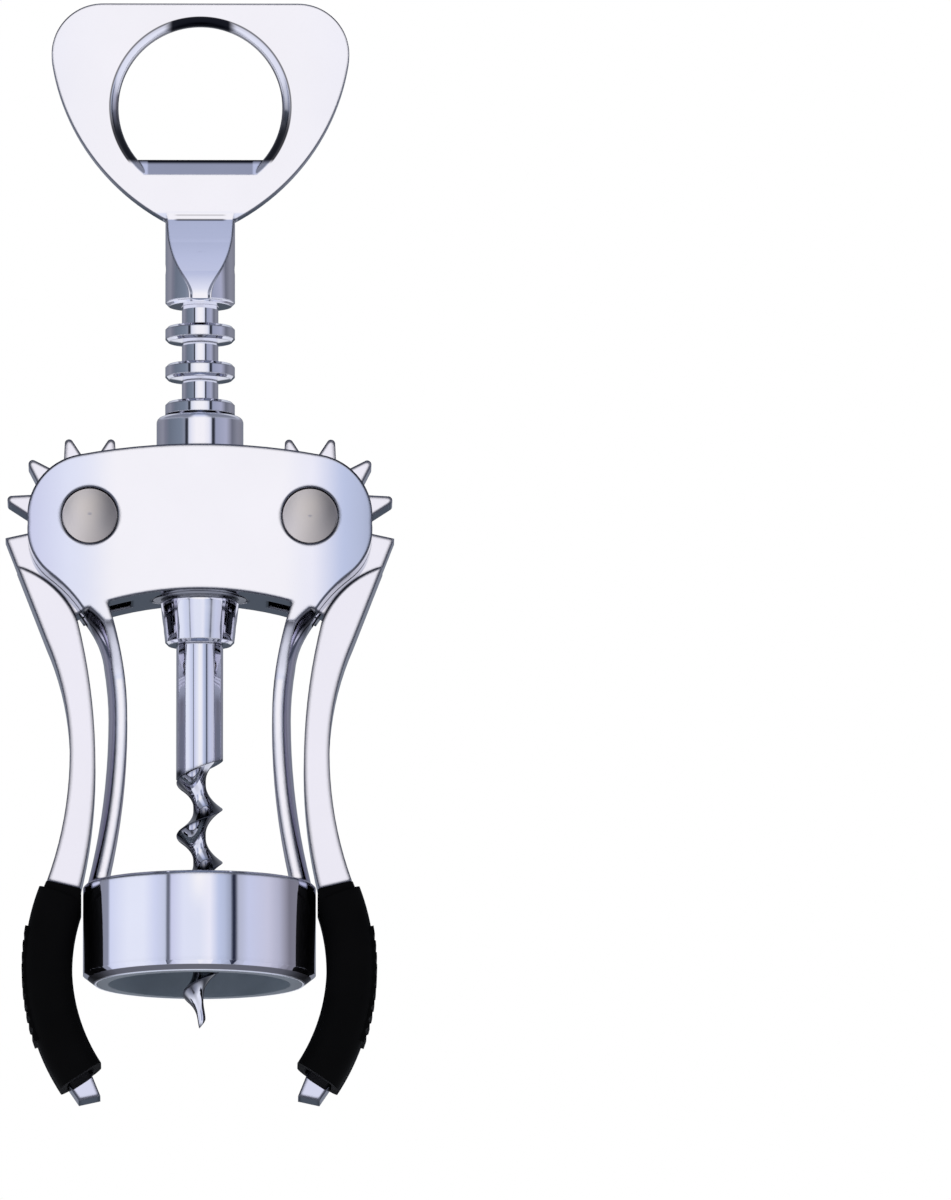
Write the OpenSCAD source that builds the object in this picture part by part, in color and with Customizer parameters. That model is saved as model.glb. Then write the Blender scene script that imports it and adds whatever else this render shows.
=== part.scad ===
// Wing corkscrew with a cap lifter in its handle.
// Z points up along the worm, X runs from wing to wing and Y from front to back.
// The origin is the centre of the bell's mouth. All lengths are in millimetres.

/* [Bell] */
// Outside radius of the bell
bell_r = 20.35; // [19.6:0.05:24]
// Height of the bell from its mouth to its shoulder
bell_h = 17.4; // [15:0.1:22]
// Wall of the bell round its liner
bell_wall = 3.3; // [2.4:0.05:3.6]
// Height of the bevel round the mouth
bell_bevel_h = 1.6; // [0.8:0.1:2.6]
// Width of the bevel round the mouth
bell_bevel = 2.05; // [1:0.05:2.2]
// Thickness of the bell's roof
bell_roof = 2; // [1.4:0.1:3]
// Chamfer round the bell's shoulder
bell_shoulder = 0.5; // [0.2:0.05:1]

/* [Liner] */
// Wall of the plastic liner
liner_wall = 1.1; // [0.8:0.05:1.8]
// Thickness of the ledge that sits on the bottle
liner_ledge = 2; // [1.2:0.1:3]
// Radius of the hole in the liner's ledge
liner_hole_r = 12.8; // [10:0.1:14]
// Thickness of the liner's flange at the mouth
liner_flange = 1.15; // [0.8:0.05:1.6]

/* [Legs] */
// Distance of the legs' outer surface from the axis at the waist
waist_r = 15.95; // [15:0.05:17.5]
// Drop of the legs' waist below the pivots
waist_drop = 34.9; // [33.5:0.1:39]
// Wall of the legs
leg_wall = 2.1; // [1.6:0.05:2.8]
// Step from the bell's outside in to the foot of a leg
foot_step = 0.75; // [0.3:0.05:1.5]
// Radius of the legs' outer arc above the waist
leg_upper_r = 54; // [50:1:60]
// Width of a leg from the front at its waist
leg_w = 3.3; // [3:0.05:3.6]
// Half depth of a leg at its narrowest
leg_half_depth = 6.3; // [6:0.1:7]
// Drop below the pivots at which a leg is narrowest from the side
leg_narrow_drop = 28.4; // [27:0.1:32]
// Radius of the arcs that widen a leg toward the bell, from the side
leg_side_r = 500; // [350:10:600]
// Radius of the arcs that widen a leg under the crown, from the side
leg_flare_r = 15; // [13:0.5:18]
// Radius of the hollow between a leg and the crown
gusset_r = 25; // [23:0.5:26.5]

/* [Crown] */
// Distance of each pivot from the axis
pivot_x = 19.25; // [19.05:0.05:19.7]
// Height of the pivots
pivot_z = 81.4; // [80:0.1:84]
// Depth of the crown from front to back
crown_depth = 20; // [18:0.1:22]
// Radius of the round ends of the crown about the pivots
lobe_r = 10.9; // [10:0.1:11.4]
// Rise of the crown's top above the pivots
crown_rise = 12.7; // [12:0.1:14]
// Drop from the pivots to the underside of the crown
floor_drop = 13; // [12.8:0.1:14]
// Radius of the arch under the crown
floor_arch_r = 59; // [50:1:70]
// Width of the slots that the gear plates turn in
slot_w = 8; // [7.8:0.1:9]
// Outside radius of the neck above the crown
neck_r = 7.6; // [7.3:0.05:9]
// Height of the neck above the pivots
neck_rise = 18.8; // [16:0.1:20]
// Rounding of the neck's top edge
neck_round = 1; // [0.4:0.1:1.2]

/* [Pivots] */
// Radius of the pivot pins
pin_r = 3; // [2.4:0.05:3.4]
// Radius of the pins' domed heads
pin_head_r = 4.75; // [4.2:0.05:5.4]
// Depth of the counterbores round the heads
pin_seat = 1.3; // [0.8:0.1:2]
// Height of the straight edge of a head
pin_edge = 0.9; // [0.5:0.1:1.4]
// Rise of the dome on a head
pin_dome = 0.9; // [0.4:0.1:1.6]
// Radius of the thin washers beside the gear plates
washer_r = 6.4; // [5:0.1:8]
// Thickness of the washers
washer_t = 0.4; // [0.3:0.02:0.45]

/* [Rack] */
// Radius of the rack's rims
rack_r = 6.1; // [5.8:0.02:6.2]
// Radius of the grooves between the rims
groove_r = 3.2; // [2.9:0.05:3.6]
// Pitch of the rims
rim_pitch = 6.7; // [6.5:0.05:6.9]
// Height of a rim across its straight part and chamfers
rim_h = 2.7; // [2.2:0.05:2.9]
// Chamfer on the edges of the rims
rim_chamfer = 0.5; // [0.2:0.05:0.8]
// Rims above the pivots
rims_above = 5; // [4:1:5]
// Radius of the boss that stops the rack under the crown
boss_r = 6.85; // [6.6:0.05:7.2]
// Radius of the boss at its lower end
boss_end_r = 6.05; // [5.6:0.05:6.4]
// Length of the boss
boss_h = 7.7; // [7:0.1:10]

/* [Guide bush] */
// Wall of the guide bush
bush_wall = 0.95; // [0.7:0.05:1]
// Height of the bush between its two lips
bush_h = 2.6; // [2.2:0.1:2.7]
// Width of the lip under the crown
bush_lip = 1.1; // [0.8:0.1:1.6]
// Width of the rolled edge above the floor
bush_roll = 0.4; // [0.2:0.05:0.4]
// Thickness of both lips
bush_lip_t = 0.55; // [0.4:0.05:0.6]

/* [Worm] */
// Outer radius of the worm's blade
worm_r = 4.05; // [3.4:0.05:4.5]
// Sharpness of the worm's blade
worm_taper = 2.6; // [1.6:0.1:3.2]
// Radius of the worm's core
worm_core = 1.1; // [0.9:0.05:1.6]
// Pitch of the worm
worm_pitch = 9.4; // [8.5:0.1:10.5]
// Depth of the worm's point below the bell's mouth
worm_reach = 7.7; // [2:0.1:12]
// Height at which the blade points straight to the left
worm_phase_z = 26.2; // [22:0.1:30]
// Radius of the shank above the worm
shank_r = 4.1; // [3.6:0.05:4.6]
// Length of the shank below the rack
shank_h = 21.6; // [16:0.1:26]
// Slant of the shank's lower end
shank_slant = 22.4; // [0:0.1:30]
// Radius of the spigot in the rack
spigot_r = 2.6; // [2.2:0.05:3]
// Length of the spigot in the rack
spigot_h = 6.4; // [5.6:0.1:6.6]
// Radius of the cross pin that holds the worm
worm_pin_r = 0.9; // [0.6:0.05:1.2]
// Height of that pin above the rack's lower end
worm_pin_rise = 3.4; // [2.8:0.1:4]

/* [Handle] */
// Thickness of the handle's plate
plate_t = 3.2; // [2.6:0.1:4.2]
// Radius of the round collar under the plate
collar_r = 6.1; // [5.8:0.02:6.2]
// Height of the collar's lower edge above the rack's top rim
collar_gap = 5; // [4:0.1:7]
// Length of the collar up to the plate
collar_h = 15.7; // [15.2:0.1:16.6]
// Half depth of the collar across the lower ends of its facets
facet_depth = 5.8; // [5.6:0.05:5.95]
// Height above the collar's lower edge at which the facets start to bend in
facet_rise = 1.1; // [0.8:0.1:2]
// Radius of the lower bend of the facets
facet_low_r = 12; // [9:0.5:13]
// Radius of the upper bend of the facets
facet_high_r = 15; // [11:0.5:16]
// Chamfer round the collar's lower edge
collar_chamfer = 0.6; // [0.2:0.05:1]
// Height of the plate above the collar
plate_h = 37.9; // [36.5:0.1:42]
// Half width of the plate at its widest
plate_half_w = 26.1; // [25:0.1:29]
// Radius of the plate's upper corners
corner_r = 9; // [7:0.1:10]
// Radius of the plate's curved flanks
flank_r = 38.8; // [38:0.1:42]
// Radius of the cap lifter's hole at its narrowest
lifter_r = 14.35; // [13:0.05:15]
// Drop of the hole's centre below the plate's top edge
lifter_drop = 18.3; // [17.4:0.1:19]
// Drop of the lifting lip below the hole's centre
lip_drop = 9.3; // [8:0.1:10.5]
// Radius of the rounded edge of the hole, a little over half the plate
lifter_round = 1.62; // [1.62:0.01:1.8]
// Width of the bevel on the lifting lip
lip_bevel = 2.8; // [1.5:0.1:3.2]
// Width of the flat left on the hole's edge
lifter_land = 0.8; // [0.4:0.1:1.4]
// Depth of the socket for the rack's stem
socket_h = 9.1; // [8:0.1:9.8]
// Radius of the cross pin in the collar
handle_pin_r = 1; // [0.7:0.05:1.3]
// Height of that pin above the collar's lower edge
handle_pin_rise = 6.6; // [5:0.1:7]

/* [Wings] */
// Teeth on each gear plate
teeth = 7; // [7:1:7]
// Outer radius of the teeth
tip_r = 14.9; // [14.4:0.05:15]
// Radius between the teeth
root_r = 10.8; // [10:0.1:11.2]
// Half width of a tooth halfway up
tooth_half_w = 1.15; // [0.9:0.05:1.25]
// Slope of a tooth's flanks from its middle line
tooth_slope = 17.9; // [14:0.1:21]
// Thickness of a gear plate
gear_t = 7; // [6.6:0.1:7.05]
// Thickness of a wing below its gear plate
wing_t = 11; // [9:0.1:12]
// Drop of a wing's waist below its pivot
lever_drop = 41.4; // [38:0.1:44]
// Distance outward from the pivot to the wing's outer edge at the waist
lever_out = 3.45; // [3.2:0.05:4.5]
// Width of a wing at its waist
lever_w = 4.5; // [3.8:0.05:4.7]
// Radius of the wing's outer edge above the waist
lever_upper_r = 50; // [46:1:54]
// Radius of the wing's inner edge above the waist
lever_inner_r = 105; // [95:1:120]
// Width of a wing where it enters its grip
lever_end_w = 5.8; // [5.5:0.05:6.2]
// Radius of the step where a wing gets thicker
step_r = 16.4; // [16:0.1:17]

/* [Grips] */
// Thickness of a grip from its inner to its outer side
grip_t = 8.4; // [8:0.1:9.6]
// Depth of a grip from front to back
grip_depth = 13; // [10:0.1:15]
// Radius of a grip's middle line
grip_r = 35.15; // [33:0.05:38]
// Gap between the bell and the middle of a grip
grip_gap = 1.85; // [1.2:0.05:2.6]
// Gap between the bell and the flat on top of a grip's inner side
bell_gap = 0.3; // [0.2:0.05:0.5]
// Height of the middle of a grip above the bell's mouth
grip_z = 2.7; // [0:0.1:5]
// Length of a grip, as an angle
grip_angle = 54.3; // [44:0.1:58]
// Rounding of a grip's long edges
grip_round = 3; // [1.5:0.1:4]
// Ribs on the outer side of a grip
grip_ribs = 10; // [6:1:11]
// Rise of the ribbed pad above the rest of a grip
rib_pad = 0.45; // [0.3:0.05:0.7]
// Depth of the grooves between the ribs
rib_depth = 0.35; // [0.2:0.05:0.5]
// Thickness of the metal core inside a grip
core_t = 5.4; // [4.8:0.1:5.6]
// Depth of the core from front to back
core_depth = 7.2; // [5:0.1:9]
// Length of core that shows below a grip, as an angle
core_tip_angle = 8; // [4:0.1:10]

/* [Fits] */
// Clearance of pieces that turn or slide on each other
run_fit = 0.05; // [0.02:0.01:0.1]
// Clearance of pieces that are pushed together
push_fit = 0.02; // [0.01:0.01:0.05]
// Room round the gear plates in the crown
gear_room = 0.45; // [0.3:0.05:0.6]

/* [Hidden] */
$fn = 96;
// Facets of long arcs and of small holes
arc_facets = 360;
hole_facets = 48;
// Extra length of a cut past the face it opens
over = 1;
// Larger than the whole part
big = 200;

crown_half = crown_depth / 2;
floor_z = pivot_z - floor_drop;
waist_z = pivot_z - waist_drop;
leg_narrow_z = pivot_z - leg_narrow_drop;
crown_top = pivot_z + crown_rise;
neck_top = pivot_z + neck_rise;

// Bell and liner
mouth_r = bell_r - bell_bevel;
mouth_land = 0.3;
flange_pocket_r = mouth_r - mouth_land;
bore_r = bell_r - bell_wall;
bore_top = bell_h - bell_roof;
throat_room = 0.4;
throat_r = liner_hole_r + throat_room;
liner_r = bore_r - run_fit;
liner_top = bore_top - run_fit;
ledge_z = liner_top - liner_ledge;

// Arcs of the legs, as circle centres [distance from the axis, height]
foot_r = bell_r - foot_step;
foot_rise = waist_z - bell_h;
foot_flare = foot_r - waist_r;
leg_lower_r = (foot_flare * foot_flare + foot_rise * foot_rise) / (2 * foot_flare);
lower_c = [waist_r + leg_lower_r, waist_z];
upper_c = [waist_r + leg_upper_r, waist_z];

// The point where circle a, ra crosses circle b, rb, on the left of the way from a to b
function crossing(a, ra, b, rb) =
    let (d = norm(b - a), u = (b - a) / d)
    let (l = (ra * ra - rb * rb + d * d) / (2 * d))
    let (h = sqrt(ra * ra - l * l))
    a + l * u + h * [-u[1], u[0]];
function unit(v) = v / norm(v);
// Radius of an arc that starts straight up or down and ends as far off as v says
function arc_r(v) = v * v / (2 * v[0]);
// A point at a distance and an angle
function at(r, angle) = r * [cos(angle), sin(angle)];

// Crown outline on the right side, mirrored for the left
pivot = [pivot_x, pivot_z];
bulge_out = 1.05;
bulge_drop = 2.4;
bulge_c = pivot + [bulge_out, -bulge_drop];
bulge_r = lobe_r - bulge_out;
gusset_c = crossing(upper_c, leg_upper_r - gusset_r, bulge_c, bulge_r + gusset_r);
gusset_top = gusset_c + gusset_r * unit(bulge_c - gusset_c);
gusset_foot = gusset_c + gusset_r * unit(gusset_c - upper_c);
arch_r = (pivot_x * pivot_x + crown_rise * crown_rise - lobe_r * lobe_r)
    / (2 * (crown_rise - lobe_r));
arch_c = [0, crown_top - arch_r];
arch_end = arch_c + arch_r * unit(pivot - arch_c);
// The flare of the gusset's outside, as a surface turned about the worm's axis
flare_r = 15;
flare_tilt = 5;
flare_c = gusset_foot + flare_r * [cos(flare_tilt), -sin(flare_tilt)];
// The front outline takes over from the turned surface a little above the gusset's foot
skirt_rise = 2;
skirt_z = gusset_foot[1] + skirt_rise;
skirt_x = gusset_c[0] - sqrt(gusset_r * gusset_r - pow(skirt_z - gusset_c[1], 2));

// Gear plates and their slots
slot_in_r = tip_r + gear_room;
hub_end_r = 17.35;
slot_out_r = hub_end_r + gear_room;
slot_floor_in = 12;
slot_floor_out = 17.5;
slot_floor_below = 6;
slot_floor_h = 8;

// Pivot pins
pin_head_room = 0.25;
pin_tail_gap = 0.1;
pin_tail = crown_half - pin_seat + pin_edge - pin_tail_gap;

// Rack and bush
rack_room = 0.2;
rack_bore_r = rack_r + rack_room;
boss_gap = 0.3;
boss_top = floor_z - bush_lip_t - boss_gap;
boss_bottom = boss_top - boss_h;
spigot_room = 0.1;
rim_foot = 0.5;
rim_foot_h = rim_h + rim_foot;
bush_mouth_room = 0.2;
bush_in_r = rack_r + run_fit;
bush_out_r = bush_in_r + bush_wall;
bush_seat_r = bush_out_r + run_fit;
bush_top = floor_z + bush_h;
top_rim_z = pivot_z + rims_above * rim_pitch;

// Handle
collar_z = top_rim_z + collar_gap;
plate_z = collar_z + collar_h;
plate_top = plate_z + plate_h;
socket_top = collar_z + socket_h;
// The facets bend in round low and out again round high, as [depth, height]
facet_low = [facet_depth - facet_low_r, collar_z + facet_rise];
facet_high = [plate_t / 2 + facet_high_r, plate_z + over];
facet_way = facet_high - facet_low;
facet_tilt = atan2(facet_way[1], facet_way[0])
    - acos((facet_low_r + facet_high_r) / norm(facet_way));
facet_normal = [cos(facet_tilt), sin(facet_tilt)];
facet_start = facet_low + facet_low_r * facet_normal;
facet_end = facet_high - facet_high_r * facet_normal;
plate_root = 4;
corner_z = plate_top - corner_r;
corner_x = plate_half_w - corner_r;
flank_end_drop = 1.4;
flank_end_inset = 0.1;
flank_end_z = corner_z - flank_end_drop;
flank_end_x = plate_half_w - flank_end_inset;
flank_foot_x = 6.93;
flank_foot_drop = 0.1;
flank_foot = [flank_foot_x, plate_z - flank_foot_drop];
flank_c = crossing(flank_foot, flank_r, [flank_end_x, flank_end_z], flank_r);
lifter_c = [0, plate_top - lifter_drop];
lip_z = lifter_c[1] - lip_drop;
lifter_rim = 0.2;
lifter_round_spare = 0.02;
handle_pin_inset = 0.1;

// Worm
worm_tip_z = -worm_reach;
shank_z = boss_bottom - shank_h;
worm_root = 3.6;
worm_end_z = shank_z + worm_root;
worm_point = 0.1;
worm_steps = 20;
worm_points = 14;
worm_grow_power = 0.7;

// Grip, from the pivot
grip_in_r = grip_r - grip_t / 2;
grip_c = [pivot_x - bell_r - grip_gap + grip_in_r, grip_z - pivot_z];
grip_top_angle = 159;
grip_end_angle = grip_top_angle + grip_angle;
flat_x = pivot_x - bell_r - bell_gap;
grip_neck_angle = 5;
grip_neck_sink = 1;
grip_neck_rim = 0.5;
grip_neck_round = 1.2;
core_shift = 0.15;
core_in_r = grip_r + core_shift - core_t / 2;
core_out_r = core_in_r + core_t;
core_tip_inset = 0.05;
core_tip_root = 2;
core_tip_start = 0.65;
core_tip_point = 0.37;
core_root_angle = 4.5;
core_bevel = 0.7;
pad_angle = 169.7;
rib_pitch_angle = 3;
rib_cut_r = 0.7;
pad_half_depth = 4.6;

// Wing, from its pivot, for the left side
lever_end_inset = 0.2;
lever_end_rise = 13.4;
lever_end_slope = 0.24;
lever_end_in = [flat_x - lever_end_inset, grip_c[1] + lever_end_rise];
lever_end_out = lever_end_in + lever_end_w * [-1, lever_end_slope];
lever_end_way = unit(lever_end_out - lever_end_in);
waist_out = [-lever_out, -lever_drop];
upper_edge_c = waist_out - [lever_upper_r, 0];
lever_lower_r = arc_r(waist_out - lever_end_out);
lower_edge_c = waist_out - [lever_lower_r, 0];
waist_in_drop = 2;
waist_in = [lever_w - lever_out, -lever_drop - waist_in_drop];
inner_edge_c = waist_in - [lever_inner_r, 0];
inner_lower_r = arc_r(waist_in - lever_end_in);
inner_lower_c = waist_in - [inner_lower_r, 0];
edge_bend_angle = 23.6;
edge_bend = upper_edge_c + lever_upper_r * [cos(edge_bend_angle), sin(edge_bend_angle)];
hub_corner = [-14.75, -3.1];
step_c = [-17.35, -24];
step_end = crossing(inner_edge_c, lever_inner_r, step_c, step_r);
step_overlap = 0.3;
hub_middle = 0.65;
hub_end = [[-3.2, -17.4], [-hub_middle, -15.6]];
tooth_mid_r = (tip_r + root_r) / 2;
tooth_tip_r = tooth_half_w - (tip_r - tooth_mid_r - 0.8) * tan(tooth_slope);
tooth_pitch = 30;
tooth_first = -15;

// An outline in X and Z, extruded from front to back
module across(depth) {
    rotate([90, 0, 0])
        linear_extrude(height = depth, center = true)
            children();
}

// An outline in Y and Z, extruded from left to right
module along(width) {
    rotate([90, 0, 90])
        linear_extrude(height = width, center = true)
            children();
}

// A round bar along Y, from y0 to y1
module bar_y(r, y0, y1) {
    translate([0, y0, 0])
        rotate([-90, 0, 0])
            cylinder(r = r, h = y1 - y0);
}

// A copy as drawn and a mirrored copy
module both_sides() {
    children();
    mirror([1, 0, 0])
        children();
}

// Frame

module bell() {
    rotate_extrude()
        polygon([
            [throat_r, bell_h],
            [bell_r - bell_shoulder, bell_h],
            [bell_r, bell_h - bell_shoulder],
            [bell_r, bell_bevel_h],
            [mouth_r, 0],
            [flange_pocket_r, 0],
            [flange_pocket_r, liner_flange + run_fit],
            [bore_r, liner_flange + run_fit],
            [bore_r, bore_top],
            [throat_r, bore_top]
        ]);
}

// Half section of the space inside the legs' surface, set in by the wall
module leg_section(wall, top) {
    difference() {
        translate([0, bell_h - over])
            square([flare_c[0], top - bell_h + over]);
        intersection() {
            translate(lower_c)
                circle(r = leg_lower_r + wall, $fn = arc_facets);
            square([big, waist_z]);
        }
        intersection() {
            translate(upper_c)
                circle(r = leg_upper_r + wall, $fn = arc_facets);
            translate([0, waist_z])
                square([big, (wall > 0 ? top : gusset_foot[1]) - waist_z]);
        }
        if (wall == 0)
            intersection() {
                translate(flare_c)
                    circle(r = flare_r, $fn = arc_facets / 2);
                translate([0, gusset_foot[1]])
                    square([big, big]);
            }
    }
}

// Outline of the crown and the gussets, down to near the foot of each gusset.
// Below that the outline goes straight down, as much wider on each side as asked.
module crown_outline(skirt) {
    half = [
        gusset_top,
        [skirt_x, skirt_z],
        [skirt_x + skirt, skirt_z],
        [skirt_x + skirt, 0]
    ];
    both_sides() {
        translate(pivot)
            circle(r = lobe_r);
        translate(bulge_c)
            circle(r = bulge_r);
    }
    difference() {
        intersection() {
            translate(arch_c)
                circle(r = arch_r, $fn = 2 * arc_facets);
            polygon(concat(
                [[0, crown_top + over], [arch_end[0], crown_top + over], arch_end, pivot, bulge_c],
                half,
                [for (i = [len(half) - 1 : -1 : 0]) [-half[i][0], half[i][1]]],
                [[-bulge_c[0], bulge_c[1]], [-pivot_x, pivot_z]],
                [[-arch_end[0], arch_end[1]], [-arch_end[0], crown_top + over]]
            ));
        }
        both_sides()
            intersection() {
                translate(gusset_c)
                    circle(r = gusset_r, $fn = arc_facets / 2);
                translate([0, skirt_z])
                    square([big, big]);
            }
    }
}

// Side view of both legs
module leg_side() {
    intersection() {
        translate([-crown_half, 0])
            square([crown_depth, crown_top]);
        difference() {
            translate([-big / 2, 0])
                square([big, crown_top]);
            both_sides() {
                intersection() {
                    translate([leg_half_depth + leg_side_r, leg_narrow_z])
                        circle(r = leg_side_r, $fn = arc_facets);
                    square([big, leg_narrow_z]);
                }
                intersection() {
                    translate([leg_half_depth + leg_flare_r, leg_narrow_z])
                        circle(r = leg_flare_r, $fn = arc_facets / 2);
                    translate([0, leg_narrow_z])
                        square([big, big]);
                }
            }
        }
    }
}

// The space between the legs from the front, as wide as the legs' width leaves it
module window_outline() {
    both_sides()
        difference() {
            translate([-over, bell_h])
                square([bell_r + over, floor_z - bell_h + over]);
            intersection() {
                translate(lower_c)
                    circle(r = leg_lower_r + leg_w, $fn = arc_facets);
                square([big, waist_z]);
            }
            intersection() {
                translate(upper_c)
                    circle(r = leg_upper_r + leg_w, $fn = arc_facets);
                translate([0, waist_z])
                    square([big, big]);
            }
        }
}

// The legs are strips of one curved shell, with gussets that run up into the crown
module legs() {
    difference() {
        intersection() {
            difference() {
                rotate_extrude()
                    leg_section(0, floor_z);
                rotate_extrude()
                    leg_section(leg_wall, floor_z + over);
                translate([0, 0, bell_h - 2 * over])
                    cylinder(r = bore_r, h = 2 * over);
            }
            across(big)
                crown_outline(bell_r - skirt_x);
            along(big)
                leg_side();
        }
        across(crown_depth + 2 * over)
            window_outline();
    }
}

module crown() {
    across(crown_depth)
        difference() {
            crown_outline(0);
            translate([0, floor_z - floor_arch_r])
                circle(r = floor_arch_r, $fn = arc_facets);
        }
}

module neck() {
    rotate_extrude() {
        translate([0, pivot_z])
            square([neck_r, neck_rise - neck_round]);
        translate([0, pivot_z])
            square([neck_r - neck_round, neck_rise]);
        translate([neck_r - neck_round, neck_top - neck_round])
            circle(r = neck_round);
    }
}

// Space for one gear plate
module gear_slot() {
    translate([pivot_x, 0, pivot_z])
        bar_y(slot_in_r, -slot_w / 2, slot_w / 2);
    across(slot_w) {
        intersection() {
            translate(pivot)
                circle(r = slot_out_r);
            translate([pivot_x, 0])
                square([big, big]);
        }
        translate([slot_floor_in, floor_z - slot_floor_below])
            square([slot_floor_out - slot_floor_in, slot_floor_h]);
    }
}

module pivot_holes() {
    translate([pivot_x, 0, pivot_z]) {
        bar_y(pin_r + push_fit, -crown_half - over, crown_half + over);
        bar_y(pin_head_r + pin_head_room, -crown_half - over, -crown_half + pin_seat);
        bar_y(pin_head_r + pin_head_room, crown_half - pin_seat, crown_half + over);
    }
}

module frame() {
    color("silver")
        difference() {
            union() {
                bell();
                legs();
                crown();
                neck();
            }
            both_sides() {
                gear_slot();
                pivot_holes();
            }
            // Bore for the rack, with the seat of the guide bush below it
            translate([0, 0, floor_z - over])
                cylinder(r = rack_bore_r, h = neck_top - floor_z + 2 * over);
            translate([0, 0, floor_z - over])
                cylinder(r = bush_seat_r, h = bush_h + over);
            translate([0, 0, bush_top - run_fit])
                cylinder(r = bush_out_r + bush_roll + run_fit, h = bush_lip_t + 2 * run_fit);
            translate([0, 0, floor_z - 2 * over])
                cylinder(r = bush_out_r + bush_lip + bush_mouth_room, h = 2 * over);
        }
}

module bell_liner() {
    color("dimgray")
        rotate_extrude()
            polygon([
                [liner_r - liner_wall, 0],
                [flange_pocket_r - run_fit, 0],
                [flange_pocket_r - run_fit, liner_flange],
                [liner_r, liner_flange],
                [liner_r, liner_top],
                [liner_hole_r, liner_top],
                [liner_hole_r, ledge_z],
                [liner_r - liner_wall, ledge_z]
            ]);
}

// Pivot pins, caps and washers, drawn on the right side

// A head that stands on the plane y = 0 and bulges toward +Y
module domed_head() {
    dome_r = (pin_head_r * pin_head_r + pin_dome * pin_dome) / (2 * pin_dome);
    rotate([-90, 0, 0])
        rotate_extrude()
            intersection() {
                square([pin_head_r, pin_edge + pin_dome]);
                translate([0, pin_edge + pin_dome - dome_r])
                    circle(r = dome_r, $fn = arc_facets);
            }
}

module pivot_pin() {
    color("gainsboro")
        translate([pivot_x, 0, pivot_z]) {
            bar_y(pin_r, pin_seat - crown_half - over / 2, pin_tail);
            mirror([0, 1, 0])
                translate([0, crown_half - pin_seat, 0])
                    domed_head();
        }
}

module pivot_cap() {
    color("gainsboro")
        translate([pivot_x, 0, pivot_z])
            difference() {
                translate([0, crown_half - pin_seat, 0])
                    domed_head();
                bar_y(pin_r + push_fit, 0, pin_tail + push_fit);
            }
}

module washers() {
    gap = (slot_w - gear_t) / 2;
    color("ivory")
        for (side = [-1, 1])
            translate([pivot_x, side * (gear_t + gap) / 2, pivot_z])
                difference() {
                    bar_y(washer_r, -washer_t / 2, washer_t / 2);
                    bar_y(pin_r + 2 * run_fit, -over, over);
                }
}

// Rack, bush and worm

module guide_bush() {
    color("silver")
        rotate_extrude()
            polygon([
                [bush_in_r, floor_z - bush_lip_t],
                [bush_out_r + bush_lip, floor_z - bush_lip_t],
                [bush_out_r + bush_lip, floor_z],
                [bush_out_r, floor_z],
                [bush_out_r, bush_top],
                [bush_out_r + bush_roll, bush_top],
                [bush_out_r + bush_roll, bush_top + bush_lip_t],
                [bush_in_r, bush_top + bush_lip_t]
            ]);
}

// Half section of one rim at height z
function rim(z) = [
    [groove_r, z - rim_foot_h / 2],
    [rack_r - rim_chamfer, z - rim_h / 2],
    [rack_r, z - rim_h / 2 + rim_chamfer],
    [rack_r, z + rim_h / 2 - rim_chamfer],
    [rack_r - rim_chamfer, z + rim_h / 2],
    [groove_r, z + rim_foot_h / 2]
];

module rack() {
    journal_top = pivot_z - rim_pitch - rim_h / 2 - (rim_pitch - rim_h);
    color("silver")
        difference() {
            rotate_extrude()
                polygon(concat(
                    [
                        [0, boss_bottom],
                        [boss_end_r - rim_chamfer, boss_bottom],
                        [boss_end_r, boss_bottom + rim_chamfer],
                        [boss_r, boss_top - rim_chamfer],
                        [boss_r, boss_top],
                        [rack_r, boss_top],
                        [rack_r, journal_top + rim_h - rim_chamfer],
                        [rack_r - rim_chamfer, journal_top + rim_h],
                        [groove_r, journal_top + rim_h]
                    ],
                    [for (k = [-1 : rims_above]) each rim(pivot_z + k * rim_pitch)],
                    [
                        [groove_r, socket_top - push_fit],
                        [0, socket_top - push_fit]
                    ]
                ));
            translate([0, 0, boss_bottom - over])
                cylinder(r = spigot_r + push_fit, h = spigot_h + over + spigot_room);
            cross_hole(worm_pin_r + push_fit, boss_bottom + worm_pin_rise);
            cross_hole(handle_pin_r + push_fit, collar_z + handle_pin_rise);
        }
}

// A hole or a pin along X
module cross_hole(r, z) {
    cross_pin(r, z, big / 2);
}

module cross_pin(r, z, length) {
    translate([0, 0, z])
        rotate([0, 90, 0])
            cylinder(r = r, h = length, center = true, $fn = hole_facets);
}

// Height above the point at which the worm reaches its full size
function worm_scale(z) = pow(min(1, (z - worm_tip_z) / worm_pitch), worm_grow_power);
function worm_edge(turn) = worm_core + (worm_r - worm_core) * pow(1 - turn, worm_taper);

module worm_blade() {
    rings = ceil((worm_end_z - worm_tip_z) / worm_pitch * worm_steps);
    rise = (worm_end_z - worm_tip_z) / rings;
    n = worm_points;
    points = [
        for (i = [0 : rings], j = [0 : n - 1])
            let (z = worm_tip_z + max(i, worm_point) * rise)
            let (turn = min(j, n - j) / (n / 2))
            let (r = worm_scale(z) * worm_edge(turn))
            let (a = 180 + (z - worm_phase_z) / worm_pitch * 360 + j * 360 / n)
            [r * cos(a), r * sin(a), i == 0 ? worm_tip_z : z]
    ];
    faces = concat(
        [[for (j = [0 : n - 1]) j]],
        [[for (j = [n - 1 : -1 : 0]) rings * n + j]],
        [for (i = [0 : rings - 1], j = [0 : n - 1])
            [i * n + j, (i + 1) * n + j, i * n + (j + 1) % n]],
        [for (i = [0 : rings - 1], j = [0 : n - 1])
            [(i + 1) * n + j, (i + 1) * n + (j + 1) % n, i * n + (j + 1) % n]]
    );
    polyhedron(points = points, faces = faces);
}

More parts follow.
